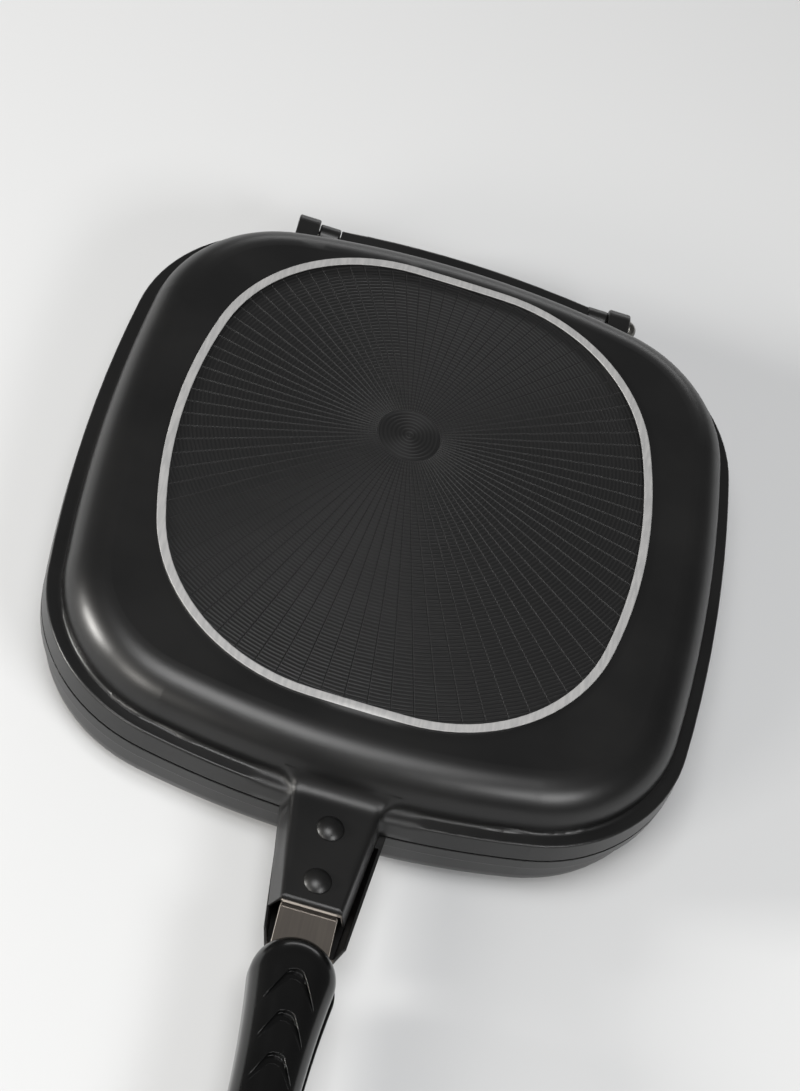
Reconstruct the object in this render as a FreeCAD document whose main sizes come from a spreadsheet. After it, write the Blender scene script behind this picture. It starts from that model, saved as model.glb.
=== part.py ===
import FreeCAD, Part
import Sketcher
import math
import os

# Double sided flip pan: two cast pans that close on each other, joined by a hinge at the back
# and each carrying half of a long handle at the front.
# Origin: middle of the flat base, +Z up, the handle points to -Y, the hinge lies on the +Y side.

SIZES = {
    # rim seen from above, the same for both pans
    "rim_half_width": 145,
    "rim_half_depth": 150,
    "rim_side_bow": 700,
    "rim_end_bow": 400,
    "rim_corner_radius": 74,
    # where the two pans meet
    "parting_height": 32,
    "parting_gap": 1.4,
    # upper pan
    "upper_rise": 32.5,
    "upper_band_height": 10.8,
    "upper_ledge_width": 7,
    "upper_shoulder_radius": 17.5,
    "upper_foot_radius": 1.6,
    "upper_mouth_inset": 10,
    "upper_roof": 3.5,
    "upper_draft": 1,
    # lower pan
    "lower_band_height": 7.3,
    "lower_ledge_width": 2.5,
    "lower_shoulder_radius": 14,
    "lower_foot_radius": 1,
    "lower_mouth_inset": 6,
    "lower_floor": 4,
    "lower_draft": 5,
    "pan_wall": 3,
    "band_draft": 3,
    "band_edge_radius": 1,
    # bare metal ring on the top panel and the recess inside it
    "ring_half_width": 107,
    "ring_half_depth": 120.5,
    "ring_side_bow": 240,
    "ring_end_bow": 1200,
    "ring_corner_radius": 83,
    "ring_width": 3.8,
    "ring_height": 1,
    "ring_root": 1,
    "ring_shift": 4.8,
    "ring_side_shift": 3,
    "panel_recess": 0.6,
    # seal in the lower rim
    "gasket_inset": 1.6,
    "gasket_width": 2.8,
    "gasket_seat_depth": 2,
    "gasket_clearance": 0.1,
    # arms cast with the pans
    "arm_plate_height": 14,
    "arm_plate_thickness": 4.5,
    "arm_wall": 1.8,
    "arm_root_inset": 7.6,
    "arm_root_sink": 6,
    "arm_flare_radius": 8,
    "arm_root_half_width": 18,
    "arm_end_half_width": 12.6,
    "arm_side_slope": 0.24,
    "arm_end_slope": 0.16,
    "arm_ramp_radius": 8,
    "arm_ramp_sink": 0.4,
    "arm_ridge_radius": 1.8,
    "arm_crest_height": 24,
    "arm_hollow_start": 5,
    "upper_arm_reach": 47,
    "lower_arm_reach": 56,
    "lower_arm_extra": 1.2,
    "lower_handle_shift": 1.8,
    # rivets through arm and strap
    "rivet_start": 11.1,
    "rivet_pitch": 24.6,
    "rivet_shank_radius": 2.5,
    "rivet_head_radius": 5.8,
    "rivet_head_height": 2.5,
    "rivet_tail_radius": 4.2,
    "rivet_tail_height": 1.6,
    "rivet_washer_radius": 5.5,
    "rivet_washer_thickness": 1,
    "rivet_hole_clearance": 0.1,
    # steel straps between arm and grip
    "strap_thickness": 2.5,
    "strap_half_width": 11.8,
    "strap_start": 8,
    "shoulder_gap": 0.3,
    "strap_edge_radius": 0.7,
    "strap_end_margin": 34,
    "tang_half_width": 13.8,
    "tang_reach": 5,
    # grips
    "grip_start": 60,
    "grip_length": 134,
    "grip_front_radius": 17.2,
    "grip_end_radius": 15,
    "grip_waist_radius": 440,
    "grip_inner_gap": 1,
    "grip_height": 18,
    "grip_crown_radius": 11.5,
    "grip_inner_edge_radius": 1,
    "grip_slot_clearance": 0.1,
    # pointed finger grooves across the crown of each grip
    "chevron_start": 17,
    "chevron_pitch": 18.1,
    "chevron_count": 5,
    "chevron_half_width": 11.8,
    "chevron_sweep": 19,
    "chevron_nose_half_width": 3.1,
    "chevron_nose_drop": 2.1,
    "chevron_inner_half_width": 2.5,
    "chevron_band": 4.4,
    "chevron_depth": 2.5,
    "chevron_tilt": 3,
    "chevron_nose_radius": 5,
    "chevron_inner_nose_radius": 4,
    # screws and inserts that hold each grip to its strap
    "screw_start": 36,
    "screw_end_margin": 54,
    "screw_radius": 2,
    "screw_head_radius": 3.8,
    "screw_head_height": 2.4,
    "screw_recess_depth": 3,
    "screw_slot_width": 1,
    "screw_slot_depth": 1.2,
    "screw_clearance": 0.15,
    "screw_end_gap": 0.6,
    "insert_radius": 3.2,
    "insert_height": 4.5,
    "insert_clearance": 0.05,
    # closing magnets in the inner faces of the grips
    "magnet_end_margin": 18,
    "magnet_radius": 4.2,
    "magnet_height": 2.4,
    "magnet_cup_wall": 0.9,
    "magnet_clearance": 0.05,
    # hinge
    "hinge_behind_rim": 5.4,
    "hinge_above_parting": 1,
    "rod_radius": 2.5,
    "rod_clearance": 0.08,
    "rod_head_radius": 4.6,
    "rod_head_height": 3.6,
    "rod_edge": 0.4,
    "rod_setback": 1,
    "hinge_washer_radius": 5,
    "hinge_washer_thickness": 0.9,
    "outer_lug_start": 71.5,
    "outer_lug_width": 10.5,
    "outer_eye_radius": 7.5,
    "inner_lug_start": 61.2,
    "inner_lug_width": 10,
    "inner_eye_radius": 5.8,
    "lug_root_inset": 12,
    "lug_edge_radius": 1,
    "lug_face_margin": 0.5,
    "lug_root_drop": 13,
    "lug_heel": 4.5,
    "lug_knee": 1.5,
    "web_reach": 10.2,
    "web_half_width": 60.9,
    "web_top": 9.5,
    "web_thickness": 3.2,
    "web_edge_radius": 1.3,
    # how far cutting shapes run past what they cut
    "overrun": 5,
}

doc = FreeCAD.newDocument("flip_pan")
sheet = doc.addObject("Spreadsheet::Sheet", "sizes")
for row, (alias, value) in enumerate(SIZES.items(), 1):
    sheet.set("A%d" % row, alias)
    sheet.set("B%d" % row, str(value))
    sheet.setAlias("B%d" % row, alias)
doc.recompute()

# Heights and places that several pieces share, as expressions on the sheet
UPPER_FACE = "(sizes.parting_height + sizes.parting_gap / 2)"
LOWER_FACE = "(sizes.parting_height - sizes.parting_gap / 2)"
TOP = "(sizes.parting_height + sizes.upper_rise)"
PLATE = "(sizes.parting_height + sizes.arm_plate_height)"
STRAP_TOP = "(%s - sizes.arm_plate_thickness)" % PLATE
STRAP_BOTTOM = "(%s - sizes.strap_thickness)" % STRAP_TOP
GRIP_FACE = "(sizes.parting_height + sizes.grip_inner_gap)"
GRIP_TOP = "(%s + sizes.grip_height)" % GRIP_FACE
HINGE_Y = "(sizes.rim_half_depth + sizes.hinge_behind_rim)"
HINGE_Z = "(sizes.parting_height + sizes.hinge_above_parting)"
FRONT = "(0 - sizes.rim_half_depth)"
GRIP_FRONT = "(%s - sizes.grip_start)" % FRONT
GRIP_END = "(%s - sizes.grip_length)" % GRIP_FRONT
STRAP_END = "(%s + sizes.strap_end_margin)" % GRIP_END
SCREW_Y = ["(%s - sizes.screw_start)" % GRIP_FRONT, "(%s + sizes.screw_end_margin)" % GRIP_END]
MAGNET_Y = "(%s + sizes.magnet_end_margin)" % GRIP_END

# Cosine and sine of the angle at which a lug's straight side meets its eye
LEAN_SHARES = (0.6, 0.8)
# Share of a shape's diagonal within which two places count as one
CLOSE_SHARE = 1e-6


def number(expression):
    result = sheet.evalExpression(str(expression))
    return float(getattr(result, "Value", result))


def vector(x, y, z=0):
    return FreeCAD.Vector(x, y, z)


# Sketch helpers

def sketch_on(body, name, role, offset="0", shift="0"):
    sketch = body.newObject("Sketcher::SketchObject", name)
    plane = next(f for f in body.Origin.OriginFeatures if f.Role == role)
    sketch.AttachmentSupport = [(plane, "")]
    sketch.MapMode = "FlatFace"
    sketch.setExpression(".AttachmentOffset.Base.z", offset)
    sketch.setExpression(".AttachmentOffset.Base.y", shift)
    return sketch


def bind(sketch, constraint, name, expression):
    index = sketch.addConstraint(constraint)
    sketch.renameConstraint(index, name)
    sketch.setExpression("Constraints." + name, expression)


def pin_point(sketch, geometry, point, name, x, y):
    """Fixes a point of the sketch at two expressions."""
    if x == "0":
        sketch.addConstraint(Sketcher.Constraint("PointOnObject", geometry, point, -2))
    else:
        place = Sketcher.Constraint("DistanceX", -1, 1, geometry, point, number(x))
        bind(sketch, place, name + "_x", x)
    if y == "0":
        sketch.addConstraint(Sketcher.Constraint("PointOnObject", geometry, point, -1))
    else:
        place = Sketcher.Constraint("DistanceY", -1, 1, geometry, point, number(y))
        bind(sketch, place, name + "_y", y)


def closed_profile(sketch, points, bends=None):
    """Straight sides between points; bends gives a side a radius and +1 or -1 for its hand."""
    bends = bends or {}
    count = len(points)
    spots = [vector(number(x), number(y)) for x, y in points]
    ends = [[1, 2] for _ in range(count)]
    for i, start in enumerate(spots):
        end = spots[(i + 1) % count]
        if i not in bends:
            sketch.addGeometry(Part.LineSegment(start, end), False)
            continue
        radius = number(bends[i][0])
        chord = end - start
        side = vector(-chord.y, chord.x) / chord.Length * bends[i][1]
        centre = (start + end) / 2 + side * math.sqrt(radius ** 2 - chord.Length ** 2 / 4)
        begin = math.atan2(start.y - centre.y, start.x - centre.x)
        finish = math.atan2(end.y - centre.y, end.x - centre.x)
        if (finish - begin) % (2 * math.pi) > math.pi:
            begin, finish = finish, begin
            ends[i] = [2, 1]
        ring = Part.Circle(centre, vector(0, 0, 1), radius)
        sketch.addGeometry(Part.ArcOfCircle(ring, begin, finish), False)
    for i in range(count):
        following = (i + 1) % count
        joint = Sketcher.Constraint("Coincident", i, ends[i][1], following, ends[following][0])
        sketch.addConstraint(joint)
        pin_point(sketch, i, ends[i][0], "corner%d" % i, points[i][0], points[i][1])
    for i, (radius, hand) in bends.items():
        start = points[i]
        end = points[(i + 1) % count]
        run = "((%s) - (%s))" % (end[0], start[0])
        climb = "((%s) - (%s))" % (end[1], start[1])
        chord = "sqrt(%s ^ 2 + %s ^ 2)" % (run, climb)
        sag = "(%d * sqrt(%s ^ 2 - %s ^ 2 / 4) / %s)" % (hand, radius, chord, chord)
        flat = abs(number(run)) > abs(number(climb))
        offset = "%s / 2 + %s * %s" % ((climb, sag, run) if flat else (run, "(0 - %s)" % sag, climb))
        kind = "DistanceY" if flat else "DistanceX"
        place = Sketcher.Constraint(kind, i, ends[i][0], i, 3, number(offset))
        bind(sketch, place, "bend%d" % i, offset)


def circle(sketch, x, y, radius, name="hole"):
    spot = vector(number(x), number(y))
    ring = Part.Circle(spot, vector(0, 0, 1), number(radius))
    index = sketch.addGeometry(ring, False)
    pin_point(sketch, index, 3, name, x, y)
    bind(sketch, Sketcher.Constraint("Radius", index, number(radius)), name + "_radius", radius)


def bowed_outline(sketch, half_width, half_depth, side_bow, end_bow, corner):
    """Four bowed sides joined by tangent corner arcs, even about both axes."""
    sizes = [number(e) for e in (half_width, half_depth, side_bow, end_bow, corner)]
    a, b, side, end, small = sizes
    side_centre = vector(a - side, 0)
    end_centre = vector(0, b - end)
    apart = side_centre.distanceToPoint(end_centre)
    along = (end_centre - side_centre) / apart
    reach = ((side - small) ** 2 - (end - small) ** 2 + apart ** 2) / (2 * apart)
    across = math.sqrt((side - small) ** 2 - reach ** 2)
    choices = [side_centre + along * reach + vector(-along.y, along.x) * across * hand for hand in (1, -1)]
    centre = max(choices, key=lambda spot: spot.x + spot.y)
    low = math.atan2(centre.y - side_centre.y, centre.x - side_centre.x)
    high = math.atan2(centre.y - end_centre.y, centre.x - end_centre.x)
    half_turn = math.pi
    arcs = [
        (side_centre.x, 0, side, -low, low),
        (centre.x, centre.y, small, low, high),
        (0, end_centre.y, end, high, half_turn - high),
        (-centre.x, centre.y, small, half_turn - high, half_turn - low),
        (-side_centre.x, 0, side, half_turn - low, half_turn + low),
        (-centre.x, -centre.y, small, half_turn + low, half_turn + high),
        (0, -end_centre.y, end, half_turn + high, 2 * half_turn - high),
        (centre.x, -centre.y, small, 2 * half_turn - high, 2 * half_turn - low),
    ]
    first = sketch.GeometryCount
    up = vector(0, 0, 1)
    for x, y, radius, begin, finish in arcs:
        ring = Part.Circle(vector(x, y), up, radius)
        sketch.addGeometry(Part.ArcOfCircle(ring, begin, finish), False)
    right, corner_a, back, corner_b, left, corner_c, front, corner_d = range(first, first + 8)
    add = sketch.addConstraint
    for i in range(8):
        add(Sketcher.Constraint("Tangent", first + i, 2, first + (i + 1) % 8, 1))
    for piece in (right, left):
        add(Sketcher.Constraint("PointOnObject", piece, 3, -1))
    for piece in (back, front):
        add(Sketcher.Constraint("PointOnObject", piece, 3, -2))
    tag = "outline%d_" % first
    bind(sketch, Sketcher.Constraint("Radius", right, side), tag + "side", side_bow)
    bind(sketch, Sketcher.Constraint("Radius", back, end), tag + "end", end_bow)
    bind(sketch, Sketcher.Constraint("Radius", corner_a, small), tag + "corner", corner)
    add(Sketcher.Constraint("Equal", right, left))
    add(Sketcher.Constraint("Equal", back, front))
    for piece in (corner_b, corner_c, corner_d):
        add(Sketcher.Constraint("Equal", corner_a, piece))
    across_gap = "%s - (%s)" % (side_bow, half_width)
    along_gap = "%s - (%s)" % (end_bow, half_depth)
    place = Sketcher.Constraint
    bind(sketch, place("DistanceX", right, 3, -1, 1, side - a), tag + "right", across_gap)
    bind(sketch, place("DistanceX", -1, 1, left, 3, side - a), tag + "left", across_gap)
    bind(sketch, place("DistanceY", back, 3, -1, 1, end - b), tag + "back", along_gap)
    bind(sketch, place("DistanceY", -1, 1, front, 3, end - b), tag + "front", along_gap)


def inset_outline(sketch, kind, inset):
    """Outline of the rim or of the ring, moved inwards by an inset."""
    bowed_outline(
        sketch,
        "sizes.%s_half_width - (%s)" % (kind, inset),
        "sizes.%s_half_depth - (%s)" % (kind, inset),
        "(sizes.%s_side_bow - (%s))" % (kind, inset),
        "(sizes.%s_end_bow - (%s))" % (kind, inset),
        "(sizes.%s_corner_radius - (%s))" % (kind, inset),
    )


# Feature helpers

def new_body(name):
    return doc.addObject("PartDesign::Body", name)


def pad(body, name, sketch, length, draft=None, midplane=False):
    feature = body.newObject("PartDesign::Pad", name)
    feature.Profile = sketch
    feature.setExpression("Length", length)
    if draft:
        feature.setExpression("TaperAngle", "0 - " + draft)
    if midplane:
        feature.SideType = "Symmetric"
    doc.recompute()
    return feature


def pocket(body, name, sketch, length, reverse=False):
    before = body.Shape.Volume
    feature = body.newObject("PartDesign::Pocket", name)
    feature.Profile = sketch
    feature.Reversed = reverse
    feature.setExpression("Length", length)
    doc.recompute()
    if body.Shape.Volume >= before:
        raise ValueError(name + " cuts nothing")
    return feature


def loft(body, kind, name, first, last):
    feature = body.newObject("PartDesign::" + kind, name)
    feature.Profile = first
    feature.Sections = [last]
    feature.Ruled = True
    doc.recompute()
    return feature


def level_edges(shape, height):
    """Names of the edges that lie flat at a height."""
    close = shape.BoundBox.DiagonalLength * CLOSE_SHARE
    names = []
    for i, edge in enumerate(shape.Edges, 1):
        box = edge.BoundBox
        if max(abs(box.ZMin - height), abs(box.ZMax - height)) < close:
            names.append("Edge%d" % i)
    return names


def outline_edges(shape, outline):
    """Names of the edges that lie on the edges of an outline."""
    close = shape.BoundBox.DiagonalLength * CLOSE_SHARE
    names = []
    for i, edge in enumerate(shape.Edges, 1):
        gaps = [edge.CenterOfMass.distanceToPoint(line.CenterOfMass) for line in outline.Edges]
        if min(gaps) < close:
            names.append("Edge%d" % i)
    return names


def round_edges(body, name, base, edges, radius):
    feature = body.newObject("PartDesign::Fillet", name)
    feature.Base = (base, edges)
    feature.setExpression("Radius", radius)
    doc.recompute()
    return feature


def revolve(body, name, sketch, axis):
    feature = body.newObject("PartDesign::Revolution", name)
    feature.Profile = sketch
    feature.ReferenceAxis = (sketch, [axis])
    feature.Angle = 360
    doc.recompute()
    return feature


def mirrored(name, source):
    """Copy of a piece turned upside down about the parting plane."""
    feature = doc.addObject("Part::Mirroring", name)
    feature.Source = source
    feature.Normal = vector(0, 0, 1)
    feature.setExpression("Base.z", "sizes.parting_height")
    return feature


def fused(name, shapes):
    feature = doc.addObject("Part::MultiFuse", name)
    feature.Shapes = shapes
    feature.Refine = True
    return feature


def cut(name, base, tool):
    feature = doc.addObject("Part::Cut", name)
    feature.Base = base
    feature.Tool = tool
    feature.Refine = False
    return feature


def group(name, members):
    feature = doc.addObject("Part::Compound", name)
    feature.Links = members
    return feature


# Pans. Both are drawn above the parting plane, and the lower one is turned over afterwards.

def pan_shell(kind, rise):
    body = new_body(kind + "_shell")
    band = sketch_on(body, kind + "_band_outline", "XY_Plane", UPPER_FACE)
    inset_outline(band, "rim", "0")
    base = pad(body, kind + "_band", band, "sizes.%s_band_height" % kind, "sizes.band_draft")
    ledge = "(%s + sizes.%s_band_height)" % (UPPER_FACE, kind)
    edges = level_edges(base.Shape, number(ledge))
    base = round_edges(body, kind + "_band_edge", base, edges, "sizes.band_edge_radius")
    dome = sketch_on(body, kind + "_dome_outline", "XY_Plane", ledge)
    inset_outline(dome, "rim", "sizes.%s_ledge_width" % kind)
    height = "sizes.parting_height + %s - %s" % (rise, ledge)
    base = pad(body, kind + "_dome", dome, height, "sizes.%s_draft" % kind)
    crown = number("sizes.parting_height + " + rise)
    edges = level_edges(base.Shape, crown)
    base = round_edges(body, kind + "_shoulder", base, edges, "sizes.%s_shoulder_radius" % kind)
    edges = outline_edges(base.Shape, dome.Shape)
    round_edges(body, kind + "_foot", base, edges, "sizes.%s_foot_radius" % kind)
    return body


def cooking_space(kind, rise, roof):
    body = new_body(kind + "_space")
    mouth = sketch_on(body, kind + "_mouth_outline", "XY_Plane", UPPER_FACE)
    inset_outline(mouth, "rim", "sizes.%s_mouth_inset" % kind)
    height = "sizes.parting_height + %s - %s - %s" % (rise, roof, UPPER_FACE)
    base = pad(body, kind + "_hollow", mouth, height, "sizes.%s_draft" % kind)
    edges = level_edges(base.Shape, number("%s + %s" % (UPPER_FACE, height)))
    radius = "sizes.%s_shoulder_radius - sizes.pan_wall" % kind
    round_edges(body, kind + "_hollow_shoulder", base, edges, radius)
    return body


def arm_outline(body, name, height, above_plate, reach, extra, inset="0", start=None):
    """Plan of an arm at a height, narrower the higher it lies above the plate."""
    side = "(%s * sizes.arm_side_slope)" % above_plate
    root = "(sizes.arm_root_half_width + %s - %s - %s)" % (extra, side, inset)
    tip = "(sizes.arm_end_half_width + %s - %s - %s)" % (extra, side, inset)
    sketch = sketch_on(body, name, "XY_Plane", height)
    if start:
        end = "(%s - %s - sizes.overrun)" % (FRONT, reach)
        points = [
            ("0 - " + root, start),
            ("0 - " + tip, end),
            (tip, end),
            (root, start),
        ]
        closed_profile(sketch, points)
        return sketch
    end = "(%s - %s - %s * sizes.arm_end_slope)" % (FRONT, reach, above_plate)
    line = "(%s + sizes.arm_root_inset)" % FRONT
    flare = "(%s - sizes.arm_flare_radius)" % line
    sunk = "(%s + sizes.arm_root_sink)" % line
    taper = "((%s - %s) / (%s - %s))" % (root, tip, flare, end)
    lean = "sqrt(1 + %s ^ 2)" % taper
    wide = "(%s + sizes.arm_flare_radius * %s)" % (root, lean)
    near = "(%s - sizes.arm_flare_radius / %s)" % (wide, lean)
    meet = "(%s + sizes.arm_flare_radius * %s / %s)" % (flare, taper, lean)
    points = [
        ("0 - " + wide, line),
        ("0 - " + near, meet),
        ("0 - " + tip, end),
        (tip, end),
        (near, meet),
        (wide, line),
        (wide, sunk),
        ("0 - " + wide, sunk),
    ]
    flare_bend = ("sizes.arm_flare_radius", -1)
    closed_profile(sketch, points, {0: flare_bend, 4: flare_bend})
    return sketch


def arm(kind, reach, extra):
    """Channel shaped arm: a top plate that ramps up into the dome, and two side walls."""
    body = new_body(kind + "_arm")
    drop = "(%s - %s)" % (UPPER_FACE, PLATE)
    rise = "(sizes.arm_crest_height - sizes.arm_plate_height)"
    crest = "(sizes.parting_height + sizes.arm_crest_height)"
    low = arm_outline(body, kind + "_arm_foot", UPPER_FACE, drop, reach, extra)
    high = arm_outline(body, kind + "_arm_crest", crest, rise, reach, extra)
    loft(body, "AdditiveLoft", kind + "_arm_block", low, high)
    shoulder = "sizes.%s_shoulder_radius" % kind
    dome_y = "(%s + sizes.%s_ledge_width + %s + sizes.arm_ramp_sink)" % (FRONT, kind, shoulder)
    crown = "sizes.upper_rise" if kind == "upper" else "sizes.parting_height"
    dome_z = "(sizes.parting_height + %s - %s)" % (crown, shoulder)
    sum_radius = "(%s + sizes.arm_ramp_radius)" % shoulder
    climb = "(%s + sizes.arm_ramp_radius - %s)" % (PLATE, dome_z)
    ramp_y = "(%s - sqrt(%s ^ 2 - %s ^ 2))" % (dome_y, sum_radius, climb)
    meet_y = "(%s + (%s - %s) * %s / %s)" % (dome_y, ramp_y, dome_y, shoulder, sum_radius)
    meet_z = "(%s + %s * %s / %s)" % (dome_z, climb, shoulder, sum_radius)
    far = "(%s - %s - sizes.overrun)" % (FRONT, reach)
    back = "(%s + sizes.arm_root_inset + sizes.arm_root_sink + sizes.overrun)" % FRONT
    above = "(%s + sizes.overrun)" % crest
    air = sketch_on(body, kind + "_arm_side_view", "YZ_Plane")
    points = [
        (far, PLATE),
        (ramp_y, PLATE),
        (meet_y, meet_z),
        (back, meet_z),
        (back, above),
        (far, above),
    ]
    closed_profile(air, points, {1: ("sizes.arm_ramp_radius", 1)})
    feature = body.newObject("PartDesign::Pocket", kind + "_arm_top")
    feature.Profile = air
    feature.Type = "ThroughAll"
    feature.SideType = "Symmetric"
    doc.recompute()
    middle = number("%s - %s / 2" % (FRONT, reach))
    edges = []
    for name in level_edges(feature.Shape, number(PLATE)):
        if feature.Shape.getElement(name).BoundBox.YMin < middle:
            edges.append(name)
    round_edges(body, kind + "_arm_ridges", feature, edges, "sizes.arm_ridge_radius")
    hollow_start = "(%s - sizes.arm_hollow_start)" % FRONT
    wall = "sizes.arm_wall"
    name = kind + "_arm_hollow"
    below = arm_outline(body, name + "_low", UPPER_FACE, drop, reach, extra, wall, hollow_start)
    roof = "(0 - sizes.arm_plate_thickness)"
    above = arm_outline(body, name + "_high", STRAP_TOP, roof, reach, extra, wall, hollow_start)
    loft(body, "SubtractiveLoft", name, below, above)
    holes = sketch_on(body, kind + "_rivet_holes", "XY_Plane", PLATE)
    radius = "(sizes.rivet_shank_radius + sizes.rivet_hole_clearance)"
    for i in range(2):
        circle(holes, "0", rivet_y(i), radius, "rivet%d" % i)
    pocket(body, kind + "_rivet_bores", holes, "sizes.arm_plate_thickness + sizes.overrun")
    return body


def rivet_y(i):
    return "(%s - sizes.rivet_start - %d * sizes.rivet_pitch)" % (FRONT, i)


# Handle pieces, drawn above the parting plane

def rivets(kind):
    members = []
    for i in range(2):
        body = new_body("%s_rivet_%d" % (kind, i + 1))
        sketch = sketch_on(body, "%s_rivet_profile_%d" % (kind, i + 1), "YZ_Plane")
        y = rivet_y(i)
        tail_top = "(%s - sizes.rivet_washer_thickness)" % STRAP_BOTTOM
        tail = "(%s - sizes.rivet_tail_height)" % tail_top
        crown = "(%s + sizes.rivet_head_height)" % PLATE
        shank = "(%s - sizes.rivet_shank_radius)" % y
        head = "(%s - sizes.rivet_head_radius)" % y
        foot = "(%s - sizes.rivet_tail_radius)" % y
        dome = "((sizes.rivet_head_radius ^ 2 + sizes.rivet_head_height ^ 2)"
        dome += " / (2 * sizes.rivet_head_height))"
        points = [(y, tail), (y, crown), (head, PLATE), (shank, PLATE), (shank, tail_top)]
        points += [(foot, tail_top), (foot, tail)]
        closed_profile(sketch, points, {1: (dome, 1)})
        revolve(body, "%s_rivet_turn_%d" % (kind, i + 1), sketch, "Edge1")
        members.append(body)
    return members


def rivet_washers(kind):
    members = []
    for i in range(2):
        body = new_body("%s_washer_%d" % (kind, i + 1))
        bottom = "%s - sizes.rivet_washer_thickness" % STRAP_BOTTOM
        sketch = sketch_on(body, "%s_washer_ring_%d" % (kind, i + 1), "XY_Plane", bottom)
        circle(sketch, "0", rivet_y(i), "sizes.rivet_washer_radius", "outer")
        bore = "sizes.rivet_shank_radius + sizes.rivet_hole_clearance"
        circle(sketch, "0", rivet_y(i), bore, "bore")
        pad(body, "%s_washer_plate_%d" % (kind, i + 1), sketch, "sizes.rivet_washer_thickness")
        members.append(body)
    return members


def strap(kind, reach, wide_tang):
    """Flat steel bar from inside the arm to inside the grip; one has a wide tang at the arm's end."""
    body = new_body(kind + "_strap_bar")
    sketch = sketch_on(body, kind + "_strap_plan", "XY_Plane", STRAP_BOTTOM)
    start = "(%s - sizes.strap_start)" % FRONT
    shoulder = "(%s - %s - sizes.shoulder_gap)" % (FRONT, reach)
    half = "sizes.strap_half_width"
    points = [(half, start)]
    if wide_tang:
        neck = "(%s - sizes.tang_reach)" % shoulder
        wide = "sizes.tang_half_width"
        points += [(half, shoulder), (wide, shoulder), (wide, neck), (half, neck)]
    points.append((half, STRAP_END))
    points += [("0 - " + x, y) for x, y in reversed(points)]
    closed_profile(sketch, points)
    base = pad(body, kind + "_strap_plate", sketch, "sizes.strap_thickness")
    edges = level_edges(base.Shape, number(STRAP_TOP))
    round_edges(body, kind + "_strap_edges", base, edges, "sizes.strap_edge_radius")
    holes = sketch_on(body, kind + "_strap_holes", "XY_Plane", STRAP_TOP)
    rivet_hole = "(sizes.rivet_shank_radius + sizes.rivet_hole_clearance)"
    screw_hole = "(sizes.screw_radius + sizes.screw_clearance)"
    for i in range(2):
        circle(holes, "0", rivet_y(i), rivet_hole, "rivet%d" % i)
        circle(holes, "0", SCREW_Y[i], screw_hole, "screw%d" % i)
    pocket(body, kind + "_strap_bores", holes, "sizes.strap_thickness + sizes.overrun")
    return body


def grip_outline(sketch):
    """Round nose and round end joined by two long waisted sides."""
    nose = number("sizes.grip_front_radius")
    end = number("sizes.grip_end_radius")
    waist = number("sizes.grip_waist_radius")
    nose_y = "(%s - sizes.grip_front_radius)" % GRIP_FRONT
    end_y = "(%s + sizes.grip_end_radius)" % GRIP_END
    front = vector(0, number(nose_y))
    rear = vector(0, number(end_y))
    apart = front.y - rear.y
    fall = ((waist + nose) ** 2 - (waist + end) ** 2 + apart ** 2) / (2 * apart)
    side = vector(math.sqrt((waist + nose) ** 2 - fall ** 2), front.y - fall)
    up = vector(0, 0, 1)
    lean = math.atan2(side.y - front.y, side.x)
    tail = math.atan2(side.y - rear.y, side.x)
    half_turn = math.pi

    def arc(centre, radius, begin, finish):
        ring = Part.Circle(centre, up, radius)
        return sketch.addGeometry(Part.ArcOfCircle(ring, begin, finish), False)

    nose_arc = arc(front, nose, lean, half_turn - lean)
    left = arc(vector(-side.x, side.y), waist, -tail, -lean)
    end_arc = arc(rear, end, half_turn - tail, 2 * half_turn + tail)
    right = arc(side, waist, half_turn + lean, half_turn + tail)
    add = sketch.addConstraint
    add(Sketcher.Constraint("Tangent", nose_arc, 2, left, 2))
    add(Sketcher.Constraint("Tangent", left, 1, end_arc, 1))
    add(Sketcher.Constraint("Tangent", end_arc, 2, right, 2))
    add(Sketcher.Constraint("Tangent", right, 1, nose_arc, 1))
    add(Sketcher.Constraint("Equal", left, right))
    pin_point(sketch, nose_arc, 3, "nose", "0", nose_y)
    pin_point(sketch, end_arc, 3, "end", "0", end_y)
    place = Sketcher.Constraint
    bind(sketch, place("Radius", nose_arc, nose), "nose_radius", "sizes.grip_front_radius")
    bind(sketch, place("Radius", end_arc, end), "end_radius", "sizes.grip_end_radius")
    bind(sketch, place("Radius", right, waist), "waist_radius", "sizes.grip_waist_radius")


def grip(kind):
    """Moulded half grip: flat inside, crowned outside, with pointed grooves across the crown."""
    body = new_body(kind + "_grip_half")
    plan = sketch_on(body, kind + "_grip_plan", "XY_Plane", GRIP_FACE)
    grip_outline(plan)
    base = pad(body, kind + "_grip_block", plan, "sizes.grip_height")
    edges = level_edges(base.Shape, number(GRIP_TOP))
    base = round_edges(body, kind + "_grip_crown", base, edges, "sizes.grip_crown_radius")
    edges = level_edges(base.Shape, number(GRIP_FACE))
    round_edges(body, kind + "_grip_inner_edge", base, edges, "sizes.grip_inner_edge_radius")
    chevrons(body, kind)
    slot = sketch_on(body, kind + "_strap_slot", "XZ_Plane", "0 - %s - sizes.overrun" % GRIP_FRONT)
    half = "(sizes.strap_half_width + sizes.grip_slot_clearance)"
    low = "(%s - sizes.grip_slot_clearance)" % STRAP_BOTTOM
    high = "(%s + sizes.grip_slot_clearance)" % STRAP_TOP
    closed_profile(slot, [("0 - " + half, low), (half, low), (half, high), ("0 - " + half, high)])
    return body, slot


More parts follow.
